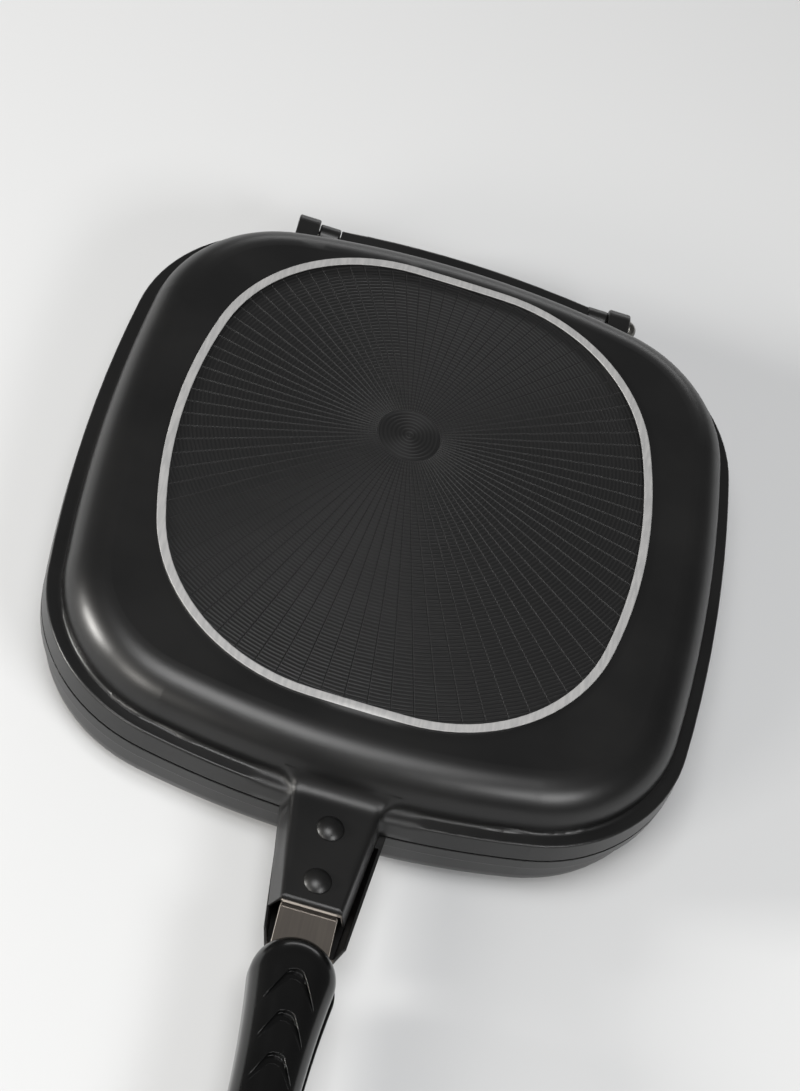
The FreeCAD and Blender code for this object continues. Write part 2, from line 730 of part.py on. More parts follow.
def chevrons(body, kind):
    sketch = body.newObject("Sketcher::SketchObject", kind + "_chevron_plan")
    plane = next(f for f in body.Origin.OriginFeatures if f.Role == "XY_Plane")
    sketch.AttachmentSupport = [(plane, "")]
    sketch.MapMode = "FlatFace"
    tilt = FreeCAD.Rotation(vector(-1, 0, 0), SIZES["chevron_tilt"])
    sketch.AttachmentOffset = FreeCAD.Placement(vector(0, 0), tilt)
    sketch.setExpression(".AttachmentOffset.Base.y", "%s - sizes.chevron_start" % GRIP_FRONT)
    sketch.setExpression(".AttachmentOffset.Base.z", "%s - sizes.chevron_depth" % GRIP_TOP)
    sketch.setExpression(".AttachmentOffset.Rotation.Angle", "sizes.chevron_tilt")
    wide = "sizes.chevron_half_width"
    nose = "sizes.chevron_nose_half_width"
    nose_drop = "sizes.chevron_nose_drop"
    inner_drop = "(%s + sizes.chevron_band)" % nose_drop
    inner = "sizes.chevron_inner_half_width"
    points = [
        ("0 - " + wide, "0 - sizes.chevron_sweep"),
        ("0 - " + inner, "0 - " + inner_drop),
        (inner, "0 - " + inner_drop),
        (wide, "0 - sizes.chevron_sweep"),
        (nose, "0 - " + nose_drop),
        ("0 - " + nose, "0 - " + nose_drop),
    ]
    bends = {1: ("sizes.chevron_inner_nose_radius", -1), 4: ("sizes.chevron_nose_radius", 1)}
    closed_profile(sketch, points, bends)
    depth = "sizes.chevron_depth + sizes.overrun"
    cutter = pocket(body, kind + "_chevron", sketch, depth, True)
    pattern = body.newObject("PartDesign::LinearPattern", kind + "_chevrons")
    pattern.Originals = [cutter]
    axis = next(f for f in body.Origin.OriginFeatures if f.Role == "Y_Axis")
    pattern.Direction = (axis, [""])
    pattern.Reversed = True
    pattern.setExpression("Length", "sizes.chevron_pitch * (sizes.chevron_count - 1)")
    pattern.setExpression("Occurrences", "sizes.chevron_count")
    body.Tip = pattern
    doc.recompute()


def grip_pockets(body, kind, slot):
    """Slot for the strap, bores for screws and inserts, and the seat of the magnet."""
    feature = body.newObject("PartDesign::Pocket", kind + "_slot")
    feature.Profile = slot
    feature.Reversed = True
    length = "sizes.overrun + %s - %s + sizes.grip_slot_clearance" % (GRIP_FRONT, STRAP_END)
    feature.setExpression("Length", length)
    doc.recompute()
    ceiling = "(%s + sizes.grip_slot_clearance)" % STRAP_TOP
    shanks = sketch_on(body, kind + "_shank_holes", "XY_Plane", GRIP_FACE)
    recesses = sketch_on(body, kind + "_head_recesses", "XY_Plane", GRIP_FACE)
    seats = sketch_on(body, kind + "_insert_holes", "XY_Plane", ceiling)
    for i in range(2):
        tag = "screw%d" % i
        circle(shanks, "0", SCREW_Y[i], "(sizes.screw_radius + sizes.screw_clearance)", tag)
        circle(recesses, "0", SCREW_Y[i], "(sizes.screw_head_radius + sizes.screw_clearance)", tag)
        circle(seats, "0", SCREW_Y[i], "(sizes.insert_radius + sizes.insert_clearance)", tag)
    shank_depth = "%s + sizes.insert_height + sizes.screw_end_gap - %s" % (ceiling, GRIP_FACE)
    pocket(body, kind + "_shank_bores", shanks, shank_depth, True)
    pocket(body, kind + "_head_bores", recesses, "sizes.screw_recess_depth", True)
    pocket(body, kind + "_insert_bores", seats, "sizes.insert_height", True)
    seat = sketch_on(body, kind + "_magnet_seat", "XY_Plane", GRIP_FACE)
    radius = "(sizes.magnet_radius + sizes.magnet_cup_wall + sizes.magnet_clearance)"
    circle(seat, "0", MAGNET_Y, radius, "seat")
    pocket(body, kind + "_magnet_bore", seat, "sizes.magnet_height + sizes.magnet_cup_wall", True)


def grip_screws(kind):
    """Slotted screws whose heads lie in the recesses of the inner face."""
    members = []
    for i in range(2):
        tag = "%s_screw_%d" % (kind, i + 1)
        body = new_body(tag)
        seat = "(%s + sizes.screw_recess_depth)" % GRIP_FACE
        under = "(%s - sizes.screw_head_height)" % seat
        tip = "(%s + sizes.grip_slot_clearance + sizes.insert_height)" % STRAP_TOP
        head = sketch_on(body, tag + "_head_plan", "XY_Plane", under)
        circle(head, "0", SCREW_Y[i], "sizes.screw_head_radius", "head")
        pad(body, tag + "_head", head, "sizes.screw_head_height")
        shank = sketch_on(body, tag + "_shank_plan", "XY_Plane", seat)
        circle(shank, "0", SCREW_Y[i], "sizes.screw_radius", "shank")
        pad(body, tag + "_shank", shank, "%s - %s" % (tip, seat))
        slot = sketch_on(body, tag + "_slot_plan", "XY_Plane", under)
        half = "(sizes.screw_slot_width / 2)"
        near = "(%s + sizes.overrun)" % SCREW_Y[i]
        far = "(%s - sizes.overrun)" % SCREW_Y[i]
        points = [("0 - " + half, far), (half, far), (half, near), ("0 - " + half, near)]
        closed_profile(slot, points)
        pocket(body, tag + "_slot", slot, "sizes.screw_slot_depth", True)
        members.append(body)
    return members


def grip_inserts(kind):
    """Threaded brass bushes moulded into the grip above the strap."""
    members = []
    for i in range(2):
        tag = "%s_insert_%d" % (kind, i + 1)
        body = new_body(tag)
        ceiling = "%s + sizes.grip_slot_clearance" % STRAP_TOP
        plan = sketch_on(body, tag + "_plan", "XY_Plane", ceiling)
        circle(plan, "0", SCREW_Y[i], "sizes.insert_radius", "outer")
        circle(plan, "0", SCREW_Y[i], "(sizes.screw_radius + sizes.insert_clearance)", "bore")
        pad(body, tag + "_bush", plan, "sizes.insert_height")
        members.append(body)
    return members


def magnet(kind):
    """Round magnet that faces the other grip."""
    body = new_body(kind + "_magnet_disc")
    plan = sketch_on(body, kind + "_magnet_plan", "XY_Plane", GRIP_FACE)
    circle(plan, "0", MAGNET_Y, "(sizes.magnet_radius - sizes.magnet_clearance)", "disc")
    pad(body, kind + "_magnet_slug", plan, "sizes.magnet_height - sizes.magnet_clearance")
    return body


def magnet_cup(kind):
    """Steel cup that holds the magnet in the grip."""
    body = new_body(kind + "_cup")
    plan = sketch_on(body, kind + "_cup_plan", "XY_Plane", GRIP_FACE)
    circle(plan, "0", MAGNET_Y, "(sizes.magnet_radius + sizes.magnet_cup_wall)", "cup")
    pad(body, kind + "_cup_block", plan, "sizes.magnet_height + sizes.magnet_cup_wall")
    inside = sketch_on(body, kind + "_cup_inside", "XY_Plane", GRIP_FACE)
    circle(inside, "0", MAGNET_Y, "sizes.magnet_radius", "inside")
    pocket(body, kind + "_cup_hollow", inside, "sizes.magnet_height", True)
    return body


# Ring and recess on the top panel

def ring_prism(name, height, inset, length):
    body = new_body(name)
    sketch = sketch_on(body, name + "_outline", "XY_Plane", height, "sizes.ring_shift")
    sketch.setExpression(".AttachmentOffset.Base.x", "0 - sizes.ring_side_shift")
    inset_outline(sketch, "ring", inset)
    pad(body, name + "_block", sketch, length)
    return body


# Seal

def rim_ring(name, height, insets, length):
    body = new_body(name)
    sketch = sketch_on(body, name + "_outline", "XY_Plane", height)
    for inset in insets:
        inset_outline(sketch, "rim", inset)
    pad(body, name + "_block", sketch, length)
    return body


# Hinge

def lug(name, start, width, points, bends):
    body = new_body(name)
    sketch = sketch_on(body, name + "_profile", "YZ_Plane", start)
    closed_profile(sketch, points, bends)
    base = pad(body, name + "_block", sketch, width)
    edges = []
    for i, edge in enumerate(base.Shape.Edges, 1):
        if edge.Curve.TypeId == "Part::GeomCircle":
            edges.append("Edge%d" % i)
    round_edges(body, name + "_edges", base, edges, "sizes.lug_edge_radius")
    return body


def on_eye(eye, back, up):
    """Point on the round of a lug, by the shares of its radius behind and above the hinge axis."""
    return "(%s + %s * %g)" % (HINGE_Y, eye, back), "(%s + %s * %g)" % (HINGE_Z, eye, up)


def lug_pair(kind, place):
    """Two lugs, one on each side; the upper pair hooks down to the rod, the lower reaches up."""
    short, long = LEAN_SHARES
    start = "sizes.%s_lug_start" % place
    width = "sizes.%s_lug_width" % place
    eye = "sizes.%s_eye_radius" % place
    root = "(sizes.rim_half_depth - sizes.lug_root_inset)"
    behind = "(%s + %s)" % (HINGE_Y, eye)
    above = "(%s + %s)" % (HINGE_Z, eye)
    if kind == "upper":
        heel = "(%s - %s - sizes.lug_heel)" % (HINGE_Y, eye)
        floor = "(%s + sizes.lug_face_margin)" % UPPER_FACE
        chin = on_eye(eye, -short, -long)
        below = "(%s - %s)" % (HINGE_Z, eye)
        points = [(root, above), (HINGE_Y, above), (behind, HINGE_Z), (HINGE_Y, below), chin]
        points += [(heel, floor), (root, floor)]
        bends = {1: (eye, -1), 2: (eye, -1), 3: (eye, -1)}
    else:
        top = "(%s - sizes.lug_face_margin)" % LOWER_FACE
        knee = "(%s - %s - sizes.lug_knee)" % (HINGE_Y, eye)
        brow = on_eye(eye, -long, short)
        chin = on_eye(eye, short, -long)
        floor = "(sizes.parting_height - sizes.lug_root_drop)"
        toe = "(sizes.rim_half_depth - sizes.lower_ledge_width)"
        points = [(root, top), (knee, top), brow, (HINGE_Y, above), (behind, HINGE_Z), chin]
        points += [(toe, floor), (root, floor)]
        bends = {2: (eye, -1), 3: (eye, -1), 4: (eye, -1)}
    right = lug(kind + "_lug_right", start, width, points, bends)
    left = lug(kind + "_lug_left", "0 - %s - %s" % (start, width), width, points, bends)
    return [right, left]


def rear_web():
    """Bowed flange behind the upper rim, between the lugs, which covers the rod."""
    body = new_body("rear_web")
    low = "sizes.parting_height + sizes.web_top - sizes.web_thickness"
    sketch = sketch_on(body, "web_plan", "XY_Plane", low)
    radius = "(sizes.rim_end_bow + sizes.web_reach)"
    half = "sizes.web_half_width"
    fall = "(%s - sqrt(%s ^ 2 - %s ^ 2))" % (radius, radius, half)
    edge = "(sizes.rim_half_depth + sizes.web_reach - %s)" % fall
    root = "(sizes.rim_half_depth - sizes.upper_ledge_width)"
    points = [(half, root), (half, edge), ("0 - " + half, edge), ("0 - " + half, root)]
    closed_profile(sketch, points, {1: (radius, 1)})
    base = pad(body, "web_block", sketch, "sizes.web_thickness")
    edges = []
    rim = number("sizes.rim_half_depth")
    for i, item in enumerate(base.Shape.Edges, 1):
        box = item.BoundBox
        if box.YMin > rim and box.ZLength < number("sizes.web_edge_radius"):
            edges.append("Edge%d" % i)
    round_edges(body, "web_edges", base, edges, "sizes.web_edge_radius")
    return body


def hinge_rod():
    """Long pin with a domed head on the right; its plain end stops inside the left lug."""
    body = new_body("hinge_pin")
    sketch = sketch_on(body, "rod_profile", "XY_Plane", HINGE_Z)
    outside = "(sizes.outer_lug_start + sizes.outer_lug_width)"
    start = "(sizes.rod_setback - %s)" % outside
    neck = "(%s + sizes.hinge_washer_thickness)" % outside
    end = "(%s + sizes.rod_head_height)" % neck
    rod = "(%s + sizes.rod_radius)" % HINGE_Y
    head = "(%s + sizes.rod_head_radius)" % HINGE_Y
    dome = "((sizes.rod_head_radius ^ 2 + sizes.rod_head_height ^ 2)"
    dome += " / (2 * sizes.rod_head_height))"
    edge_x = "(%s + sizes.rod_edge)" % start
    edge_y = "(%s - sizes.rod_edge)" % rod
    points = [(start, HINGE_Y), (end, HINGE_Y), (neck, head), (neck, rod)]
    points += [(edge_x, rod), (start, edge_y)]
    closed_profile(sketch, points, {1: (dome, 1)})
    revolve(body, "rod_turn", sketch, "Edge1")
    return body


def hinge_washer():
    body = new_body("hinge_ring")
    outside = "sizes.outer_lug_start + sizes.outer_lug_width"
    sketch = sketch_on(body, "hinge_ring_plan", "YZ_Plane", outside)
    circle(sketch, HINGE_Y, HINGE_Z, "sizes.hinge_washer_radius", "outer")
    circle(sketch, HINGE_Y, HINGE_Z, "(sizes.rod_radius + sizes.rod_clearance)", "bore")
    pad(body, "hinge_ring_plate", sketch, "sizes.hinge_washer_thickness")
    return body


def hinge_bore(name):
    bore = doc.addObject("Part::Cylinder", name)
    bore.setExpression("Radius", "sizes.rod_radius + sizes.rod_clearance")
    reach = "(sizes.outer_lug_start + sizes.outer_lug_width + sizes.overrun)"
    bore.setExpression("Height", "2 * " + reach)
    bore.Placement.Rotation = FreeCAD.Rotation(vector(0, 1, 0), 90)
    bore.setExpression(".Placement.Base.x", "0 - " + reach)
    bore.setExpression(".Placement.Base.y", HINGE_Y)
    bore.setExpression(".Placement.Base.z", HINGE_Z)
    return bore


def turned_over(name, source, shift=True):
    """Lower twin of an upper piece, set aside by the shift of the lower handle."""
    twin = mirrored(name, source)
    if shift:
        twin.setExpression(".Placement.Base.x", "sizes.lower_handle_shift")
    return twin


# Upper pan: shell, arm, ring, lugs and web are one casting

upper_shapes = [pan_shell("upper", "sizes.upper_rise"), arm("upper", "sizes.upper_arm_reach", "0")]
ring_base = "%s - sizes.ring_root" % TOP
upper_shapes.append(ring_prism("bare_ring", ring_base, "0", "sizes.ring_root + sizes.ring_height"))
upper_shapes += lug_pair("upper", "outer")
upper_shapes.append(rear_web())
upper_casting = fused("upper_casting", upper_shapes)
recess_floor = "%s - sizes.panel_recess" % TOP
recess_height = "sizes.panel_recess + sizes.ring_height + sizes.overrun"
upper_tools = [
    cooking_space("upper", "sizes.upper_rise", "sizes.upper_roof"),
    ring_prism("panel_recess", recess_floor, "sizes.ring_width", recess_height),
    hinge_bore("upper_hinge_bore"),
]
upper_pan = cut("upper_pan_cut", upper_casting, fused("upper_pan_tools", upper_tools))

# Lower pan: shell, arm and lugs are one casting

lower_shell = turned_over("lower_shell_down", pan_shell("lower", "sizes.parting_height"), False)
lower_arm = turned_over("lower_arm_down", arm("lower", "sizes.lower_arm_reach", "sizes.lower_arm_extra"))
lower_casting = fused("lower_casting", [lower_shell, lower_arm] + lug_pair("lower", "inner"))
lower_space = cooking_space("lower", "sizes.parting_height", "sizes.lower_floor")
seat_floor = "%s - sizes.gasket_seat_depth" % LOWER_FACE
seat_insets = ["sizes.gasket_inset", "sizes.gasket_inset + sizes.gasket_width"]
lower_tools = [
    turned_over("lower_space_down", lower_space, False),
    rim_ring("gasket_seat", seat_floor, seat_insets, "sizes.gasket_seat_depth"),
    hinge_bore("lower_hinge_bore"),
]
lower_pan = cut("lower_pan_cut", lower_casting, fused("lower_pan_tools", lower_tools))

gasket_insets = [
    "sizes.gasket_inset + sizes.gasket_clearance",
    "sizes.gasket_inset + sizes.gasket_width - sizes.gasket_clearance",
]
gasket_height = "sizes.gasket_seat_depth + sizes.parting_gap"
pieces = {
    "upper_pan": upper_pan,
    "lower_pan": lower_pan,
    "rim_gasket": rim_ring("gasket_ring", seat_floor, gasket_insets, gasket_height),
    "hinge_rod": hinge_rod(),
    "hinge_washer": hinge_washer(),
}

# Handle pieces, the same set on both pans; the lower set is turned over

for kind in ("upper", "lower"):
    reach = "sizes.%s_arm_reach" % kind
    half_grip, strap_slot = grip(kind)
    grip_pockets(half_grip, kind, strap_slot)
    singles = {
        kind + "_strap": strap(kind, reach, kind == "lower"),
        kind + "_grip": half_grip,
        kind + "_magnet": magnet(kind),
        kind + "_magnet_cup": magnet_cup(kind),
    }
    groups = {
        kind + "_arm_rivets": rivets(kind),
        kind + "_rivet_washers": rivet_washers(kind),
        kind + "_grip_screws": grip_screws(kind),
        kind + "_grip_inserts": grip_inserts(kind),
    }
    for name, members in groups.items():
        singles[name] = group(name + "_set", members)
    for name, piece in singles.items():
        if kind == "lower":
            piece = turned_over(name + "_down", piece)
        pieces[name] = piece

doc.recompute()

for item in doc.Objects:
    if "Invalid" in item.State or "Error" in item.State:
        raise RuntimeError("%s failed: %s" % (item.Name, item.State))
for name, piece in pieces.items():
    if piece.Shape.isNull() or not piece.Shape.isValid():
        raise RuntimeError(name + " has no valid shape")

os.makedirs("parts", exist_ok=True)
for name, piece in pieces.items():
    piece.Label = name
    piece.Shape.exportStep("parts/%s.step" % name)
    print(name, len(piece.Shape.Solids), round(piece.Shape.Volume))
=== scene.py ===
import math

import bmesh
import bpy
from mathutils import Matrix, Vector


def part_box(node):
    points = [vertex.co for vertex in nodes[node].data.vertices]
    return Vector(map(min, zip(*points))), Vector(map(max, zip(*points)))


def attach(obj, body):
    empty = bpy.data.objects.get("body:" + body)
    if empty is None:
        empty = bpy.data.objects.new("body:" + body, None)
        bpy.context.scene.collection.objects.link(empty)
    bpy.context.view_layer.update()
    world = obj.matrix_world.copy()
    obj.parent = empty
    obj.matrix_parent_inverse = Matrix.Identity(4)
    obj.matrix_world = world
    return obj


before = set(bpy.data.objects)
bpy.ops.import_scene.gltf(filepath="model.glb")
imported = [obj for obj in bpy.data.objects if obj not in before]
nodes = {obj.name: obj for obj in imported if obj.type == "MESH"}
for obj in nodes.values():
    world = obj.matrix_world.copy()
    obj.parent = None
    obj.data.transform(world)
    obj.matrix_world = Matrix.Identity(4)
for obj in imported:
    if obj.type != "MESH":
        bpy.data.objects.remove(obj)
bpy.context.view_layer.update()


# Upper and lower pan.
# Two aluminium castings, blasted and sprayed with a satin black non-stick coating that fills
# the blasting grain and rounds sharp edges. Only the raised ring on top is ground bare.

COAT_DEEP = (0.0034, 0.0034, 0.0035, 1)
COAT_PALE = (0.006, 0.0059, 0.0058, 1)
METAL_DULL = (0.42, 0.42, 0.42, 1)
METAL_BRIGHT = (0.5, 0.495, 0.49, 1)
COAT_EDGE = 0.0006
FILLET_EDGE = 0.0045
FILLET_REACH = (0.032, 0.042)
ARM_ROOT = (0.0, -0.148, 0.054)
RING_SKIN = 0.0003
RING_FADE = 0.00005


class Signal:
    """A socket of a material; arithmetic on it adds the nodes that work it out."""

    def __init__(self, tree, socket=None):
        self.tree = tree
        self.socket = socket

    def node(self, kind, settings=None, inputs=None, output=0):
        """Adds a node: its settings first, then the values or links of its sockets."""
        node = self.tree.nodes.new("ShaderNode" + kind)
        for key, value in (settings or {}).items():
            setattr(node, key, value)
        for key, value in (inputs or {}).items():
            if isinstance(value, Signal):
                self.tree.links.new(value.socket, node.inputs[key])
            else:
                node.inputs[key].default_value = value
        return Signal(self.tree, node.outputs[output] if node.outputs else None)

    def maths(self, operation, first, second=0.0):
        return self.node("Math", {"operation": operation}, {0: first, 1: second})

    def __add__(self, other):
        return self.maths("ADD", self, other)

    def __sub__(self, other):
        return self.maths("SUBTRACT", self, other)

    def __rsub__(self, other):
        return self.maths("SUBTRACT", other, self)

    def __mul__(self, other):
        return self.maths("MULTIPLY", self, other)

    __radd__ = __add__
    __rmul__ = __mul__

    def ramp(self, low, high):
        """0 below low, 1 above high, and a smooth rise between them."""
        limits = {"Value": self, "From Min": low, "From Max": high}
        return self.node("MapRange", {"interpolation_type": "SMOOTHSTEP"}, limits)

    def tint(self, first, second):
        """A colour that goes from the first to the second as this signal goes from 0 to 1."""
        return self.node("Mix", {"data_type": "RGBA"}, {0: self, 6: first, 7: second}, 2)


def start_finish(name):
    """A new material with nothing in it, and the place on the object that its patterns read."""
    material = bpy.data.materials.new(name)
    material.use_nodes = True
    material.node_tree.nodes.clear()
    place = Signal(material.node_tree).node("TexCoord", output="Object")
    return material, place


def end_finish(place, sockets):
    shader = place.node("BsdfPrincipled", None, sockets)
    place.node("OutputMaterial", None, {"Surface": shader})


def grain(place, scale, detail=2.0, stretch=None):
    """Noise in the object's space; a stretch per axis draws it out into strokes."""
    if stretch:
        place = place.node("Mapping", None, {"Vector": place, "Scale": stretch})
    return place.node("TexNoise", None, {"Vector": place, "Scale": scale, "Detail": detail})


def dress(name, material):
    """Gives a solid of the frame its finish."""
    nodes[name].data.materials.clear()
    nodes[name].data.materials.append(material)


def satin_coating(name, bare_from=None, arm_root=None):
    """Sprayed coating; it is ground off above bare_from, and runs soft around arm_root."""
    material, place = start_finish(name)
    clouds = grain(place, 18.0, 4.0)
    fine = grain(place, 1400.0)
    skin = grain(place, 260.0)
    rounded = place.node("Bevel", {"samples": 4}, {"Radius": COAT_EDGE})
    if arm_root:
        wide = place.node("Bevel", {"samples": 8}, {"Radius": FILLET_EDGE})
        ends = {0: place, 1: arm_root}
        reach = place.node("VectorMath", {"operation": "DISTANCE"}, ends, "Value")
        near = 1 - reach.ramp(*FILLET_REACH)
        blend = {0: near, 4: rounded, 5: wide}
        rounded = place.node("Mix", {"data_type": "VECTOR"}, blend, 1)
    height = fine * 0.5 + skin * 0.5
    normal = place.node("Bump", None, {
        "Strength": 0.4, "Distance": 0.00006, "Height": height, "Normal": rounded,
    })
    colour = clouds.ramp(0.35, 0.7).tint(COAT_DEEP, COAT_PALE)
    roughness = clouds * 0.1 + 0.3
    sockets = {"Base Color": colour, "Roughness": roughness, "Normal": normal}
    if bare_from:
        level = place.node("SeparateXYZ", None, {0: place}, "Z")
        bare = level.ramp(bare_from - RING_FADE, bare_from + RING_FADE)
        ground = grain(place, 700.0, 3.0, (1.0, 0.15, 1.0))
        metal = ground.ramp(0.3, 0.7).tint(METAL_DULL, METAL_BRIGHT)
        sockets["Base Color"] = bare.tint(colour, metal)
        sockets["Metallic"] = bare * 0.6
        sockets["Roughness"] = roughness * (1 - bare) + (ground * 0.15 + 0.52) * bare
    end_finish(place, sockets)
    return material


ring_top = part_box("upper_pan")[1].z
ring_coating = satin_coating("satin_coating_with_bare_ring", ring_top - RING_SKIN, ARM_ROOT)
dress("upper_pan", ring_coating)
dress("lower_pan", satin_coating("satin_coating"))


# Textured panel inside the ring.
# The casting's sunk field is filled by shallow raised strips that run out from one point like
# rays, with fine cross ribs on every strip. It is coated like the rest of the pan.

PANEL_CENTRE = Vector((-0.009, 0.030, 0.0))
PANEL_DEPTH = 0.0016
PANEL_LIFT = 0.00003
PANEL_SKIRT = 0.0006
PANEL_OVERLAP = 0.0002
LEVEL_TOLERANCE = 0.00005
STRIP_COUNT = 90
STRIP_RELIEF = 0.00022
GROOVE_HALF_WIDTH = 0.00030
HUB_RADIUS = 0.014
HUB_TO_OUTSIDE = 22.0
RIB_PITCH = 0.0018
RIB_WAVER = 0.0012
# Painted shade for the grooves between the strips and the rib troughs, and painted highlight
# for the rib crests.
RIB_PAINTED_SHADE = (0.0035, 0.0035, 0.0037, 1)
RIB_PAINTED_HIGHLIGHT = (0.0075, 0.0074, 0.0074, 1)

panel_floor = ring_top - PANEL_DEPTH
casting = bmesh.new()
casting.from_mesh(nodes["upper_pan"].data)
bmesh.ops.remove_doubles(casting, verts=casting.verts, dist=1e-6)
away = [
    f for f in casting.faces
    if abs(f.calc_center_median().z - panel_floor) > LEVEL_TOLERANCE
]
bmesh.ops.delete(casting, geom=away, context="FACES")
border = [e for e in casting.edges if e.is_boundary]
middle = sum((v.co for v in casting.verts), Vector()) / len(casting.verts)

panel = bmesh.new()
bmesh.ops.create_circle(
    panel, cap_ends=True, segments=STRIP_COUNT, radius=HUB_RADIUS,
    matrix=Matrix.Translation((PANEL_CENTRE.x, PANEL_CENTRE.y, panel_floor)),
)
hub = panel.faces[:]
rim = [e for e in panel.edges if e.is_boundary]
spread = bmesh.ops.extrude_edge_only(panel, edges=rim)["geom"]
outer = [g for g in spread if isinstance(g, bmesh.types.BMVert)]
strips = [g for g in spread if isinstance(g, bmesh.types.BMFace)]
bmesh.ops.scale(
    panel, verts=outer, vec=(HUB_TO_OUTSIDE, HUB_TO_OUTSIDE, 1.0),
    space=Matrix.Translation((-PANEL_CENTRE.x, -PANEL_CENTRE.y, 0.0)),
)
bmesh.ops.recalc_face_normals(panel, faces=panel.faces)
if panel.faces[0].normal.z < 0:
    bmesh.ops.reverse_faces(panel, faces=panel.faces)
bmesh.ops.inset_individual(
    panel, faces=strips + hub, thickness=GROOVE_HALF_WIDTH, depth=STRIP_RELIEF,
    use_even_offset=True,
)
for edge in border:
    start, end = (v.co for v in edge.verts)
    side = (end - start).cross(Vector((0, 0, 1))).normalized()
    if side.dot(start - middle) < 0:
        side = -side
    bmesh.ops.bisect_plane(
        panel, geom=panel.verts[:] + panel.edges[:] + panel.faces[:],
        plane_co=start + side * PANEL_OVERLAP, plane_no=side, clear_outer=True, dist=1e-7,
    )
casting.free()
bmesh.ops.translate(panel, verts=panel.verts, vec=(0, 0, PANEL_LIFT))
rim = [e for e in panel.edges if e.is_boundary]
skirt = bmesh.ops.extrude_edge_only(panel, edges=rim)["geom"]
hem = [g for g in skirt if isinstance(g, bmesh.types.BMVert)]
bmesh.ops.translate(panel, verts=hem, vec=(0, 0, -PANEL_SKIRT))
bmesh.ops.holes_fill(panel, edges=[e for e in panel.edges if e.is_boundary], sides=0)
bmesh.ops.recalc_face_normals(panel, faces=panel.faces)
panel_mesh = bpy.data.meshes.new("panel_strips")
panel.to_mesh(panel_mesh)
panel.free()
panel_piece = bpy.data.objects.new("panel_strips", panel_mesh)
bpy.context.scene.collection.objects.link(panel_piece)
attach(panel_piece, "upper")

material, place = start_finish("ribbed_coating")
centred = place.node("Mapping", {"vector_type": "POINT"}, {
    "Vector": place, "Location": (-PANEL_CENTRE.x, -PANEL_CENTRE.y, 0.0),
    "Scale": (1.0, 1.0, 0.0),
})
radius = place.node("VectorMath", {"operation": "LENGTH"}, {0: centred}, "Value")
waver = grain(place, 60.0, 2.0)
wave = place.maths("SINE", (radius + waver * RIB_WAVER) * (2 * math.pi / RIB_PITCH))
level = place.node("SeparateXYZ", None, {0: place}, "Z")
on_strip = level.ramp(panel_floor + STRIP_RELIEF * 0.7, panel_floor + STRIP_RELIEF)
skin = grain(place, 1400.0)
ribs = wave.ramp(-0.6, 0.9) * on_strip
rounded = place.node("Bevel", {"samples": 4}, {"Radius": 0.0003})
normal = place.node("Bump", None, {
    "Strength": 0.8, "Distance": 0.00012, "Height": ribs + skin * 0.12, "Normal": rounded,
})
# Colour: painted shade in the grooves between the strips and in the rib troughs, painted
# highlight on the rib crests.
colour = ribs.tint(RIB_PAINTED_SHADE, RIB_PAINTED_HIGHLIGHT)
dullness = skin * 0.1 + 0.33 + (1 - on_strip) * 0.4
end_finish(place, {"Base Color": colour, "Roughness": dullness, "Normal": normal})
panel_mesh.materials.append(material)


# Seal between the pans.
# A black silicone ring pressed into the groove of the lower rim; only its edge shows in the
# gap between the closed pans, and the whole of it when they are laid open.

material, place = start_finish("seal_rubber")
dust = grain(place, 500.0, 3.0)
normal = place.node("Bump", None, {"Strength": 0.3, "Distance": 0.00005, "Height": dust})
end_finish(place, {
    "Base Color": dust.ramp(0.3, 0.8).tint((0.008, 0.008, 0.008, 1), (0.014, 0.014, 0.013, 1)),
    "Roughness": dust * 0.2 + 0.6, "Normal": normal,
})
dress("rim_gasket", material)


# Straps between the arms and the grips, with the washers under the rivets.
# Rolled stainless steel bar, polished along its length, warm in tone, with bright rounded
# edges. The washers are stamped from the same sheet.

def polished_steel(name, light, dark, roughness, stretch):
    """Bare metal with polishing strokes along the axis that the stretch holds back."""
    material, place = start_finish(name)
    strokes = grain(place, 900.0, 3.0, stretch)
    smears = grain(place, 40.0, 3.0)
    rounded = place.node("Bevel", {"samples": 4}, {"Radius": 0.0003})
    normal = place.node("Bump", None, {
        "Strength": 0.2, "Distance": 0.00003, "Height": strokes, "Normal": rounded,
    })
    end_finish(place, {
        "Base Color": (strokes * 0.5 + smears * 0.5).ramp(0.3, 0.7).tint(dark, light),
        "Metallic": 1.0, "Roughness": smears * 0.12 + roughness, "Normal": normal,
    })
    return material


strap_steel = polished_steel(
    "strap_steel", (0.72, 0.64, 0.56, 1), (0.62, 0.55, 0.49, 1), 0.06, (1.0, 0.02, 1.0),
)
for name in ("upper_strap", "lower_strap", "upper_rivet_washers", "lower_rivet_washers"):
    dress(name, strap_steel)


# Rivets through the arms.
# Aluminium rivets with low domed heads, sprayed over together with the casting.

rivet_coat = satin_coating("rivet_coat")
dress("upper_arm_rivets", rivet_coat)
dress("lower_arm_rivets", rivet_coat)


# Grips.
# Two half handles moulded in heat-proof black plastic, polished on their crowned outsides,
# with a faint flow waviness and the fine scratches of use.

GRIP_DEEP = (0.0012, 0.0012, 0.0012, 1)
GRIP_PALE = (0.0022, 0.0022, 0.0022, 1)

material, place = start_finish("grip_plastic")
flow = grain(place, 30.0, 2.0)
stipple = grain(place, 900.0)
scratches = grain(place, 220.0, 3.0, (1.0, 0.08, 1.0)).ramp(0.68, 0.72)
rounded = place.node("Bevel", {"samples": 4}, {"Radius": 0.0004})
normal = place.node("Bump", None, {
    "Strength": 0.25, "Distance": 0.00008, "Height": flow + stipple * 0.15, "Normal": rounded,
})
end_finish(place, {
    "Base Color": flow.ramp(0.3, 0.8).tint(GRIP_DEEP, GRIP_PALE),
    "Roughness": scratches * 0.12 + flow * 0.06 + 0.17, "Normal": normal,
})
dress("upper_grip", material)
dress("lower_grip", material)


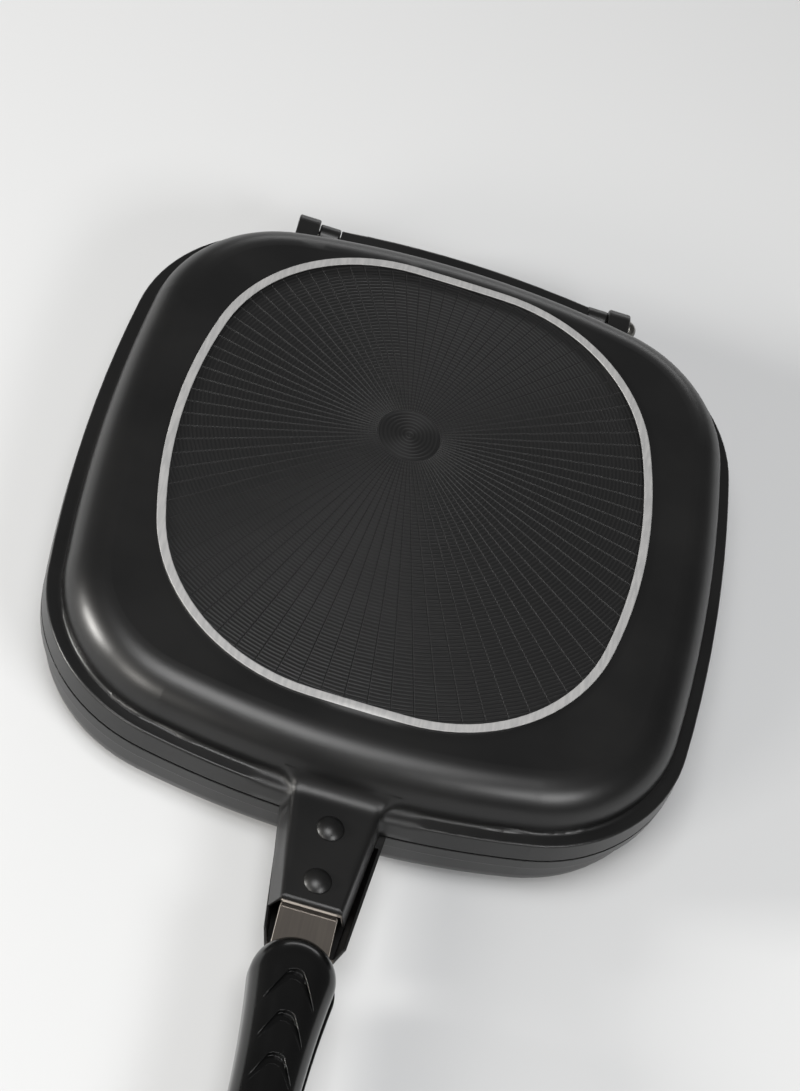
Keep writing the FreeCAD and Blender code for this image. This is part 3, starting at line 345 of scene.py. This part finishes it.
# Screws, inserts, magnets and their cups in the inner faces of the grips.
# Zinc plated slotted screws in turned brass bushes, and nickel plated magnets in zinc plated
# steel cups.

zinc = polished_steel(
    "zinc_plate", (0.6, 0.6, 0.61, 1), (0.48, 0.48, 0.5, 1), 0.28, (1.0, 1.0, 0.1),
)
nickel = polished_steel(
    "nickel_plate", (0.7, 0.68, 0.64, 1), (0.6, 0.58, 0.55, 1), 0.14, (1.0, 1.0, 1.0),
)
brass = polished_steel(
    "turned_brass", (0.8, 0.6, 0.28, 1), (0.68, 0.5, 0.22, 1), 0.25, (1.0, 1.0, 0.1),
)
for side in ("upper", "lower"):
    dress(side + "_grip_screws", zinc)
    dress(side + "_magnet_cup", zinc)
    dress(side + "_magnet", nickel)
    dress(side + "_grip_inserts", brass)


# Hinge rod and its washer.
# A long pin of dark drawn steel with a domed head, held by the upper pan's lugs; the lower
# pan's lugs turn on it.

rod_steel = polished_steel(
    "rod_steel", (0.2, 0.195, 0.18, 1), (0.12, 0.118, 0.11, 1), 0.22, (0.02, 1.0, 1.0),
)
dress("hinge_rod", rod_steel)
dress("hinge_washer", rod_steel)


# Floor, soft lights and camera.
# A plain pale sheet lit from above, with small lights from both front sides and the left that
# draw the shoulder's highlights, seen as in the photograph.

FLOOR_HALF_SIZE = 6.0
FLOOR_PAPER = (0.62, 0.625, 0.63, 1)
AIM = (0.0, -0.05, 0.05)
WARM = (1.0, 0.97, 0.92)
MILD = (1.0, 0.98, 0.94)
WHITE = (1.0, 1.0, 1.0)

floor_mesh = bpy.data.meshes.new("floor")
sheet = bmesh.new()
bmesh.ops.create_grid(sheet, x_segments=1, y_segments=1, size=FLOOR_HALF_SIZE)
sheet.to_mesh(floor_mesh)
sheet.free()
floor = bpy.data.objects.new("floor", floor_mesh)
bpy.context.scene.collection.objects.link(floor)
material, place = start_finish("floor_paper")
end_finish(place, {"Base Color": FLOOR_PAPER, "Roughness": 0.9})
floor_mesh.materials.append(material)


def soft_light(name, place, target, size, power, tone):
    """A rectangular lamp at a place, turned towards its target."""
    lamp = bpy.data.lights.new(name, "AREA")
    lamp.shape = "RECTANGLE"
    lamp.size, lamp.size_y = size
    lamp.energy = power
    lamp.color = tone
    item = bpy.data.objects.new(name, lamp)
    aim = (Vector(target) - Vector(place)).to_track_quat("-Z", "Y")
    item.matrix_world = Matrix.LocRotScale(Vector(place), aim, None)
    bpy.context.scene.collection.objects.link(item)


soft_light("overhead", (-0.3, -0.6, 2.4), (0.0, 0.1, 0.0), (1.4, 1.0), 38.0, WHITE)
soft_light("front_left", (-1.4, -1.9, 1.0), AIM, (0.8, 0.5), 22.0, WARM)
soft_light("left", (-2.2, -0.6, 0.7), AIM, (0.6, 0.3), 56.0, MILD)
soft_light("front_right", (1.1, -1.3, 1.4), AIM, (0.8, 0.5), 17.0, WHITE)
soft_light("rear", (0.3, 3.0, 0.7), (0.0, 0.0, 0.03), (2.4, 0.5), 14.0, WHITE)

world = bpy.data.worlds.new("studio")
world.use_nodes = True
glow = world.node_tree.nodes["Background"].inputs
glow["Color"].default_value = (*WHITE, 1)
glow["Strength"].default_value = 0.13
bpy.context.scene.world = world
bpy.context.scene.view_settings.view_transform = "Standard"

lens = bpy.data.cameras.new("camera")
lens.sensor_width = 36.0
lens.lens = 89.2
lens.clip_start = 0.05
camera = bpy.data.objects.new("camera", lens)
right = Vector((0.9552, 0.1901, 0.2268))
up = Vector((-0.2874, 0.7788, 0.5576))
back = Vector((-0.0707, -0.5978, 0.7985))
turn = Matrix((right, up, back)).transposed().to_4x4()
camera.matrix_world = Matrix.Translation((-0.0825, -0.7147, 0.9801)) @ turn
bpy.context.scene.collection.objects.link(camera)
bpy.context.scene.camera = camera
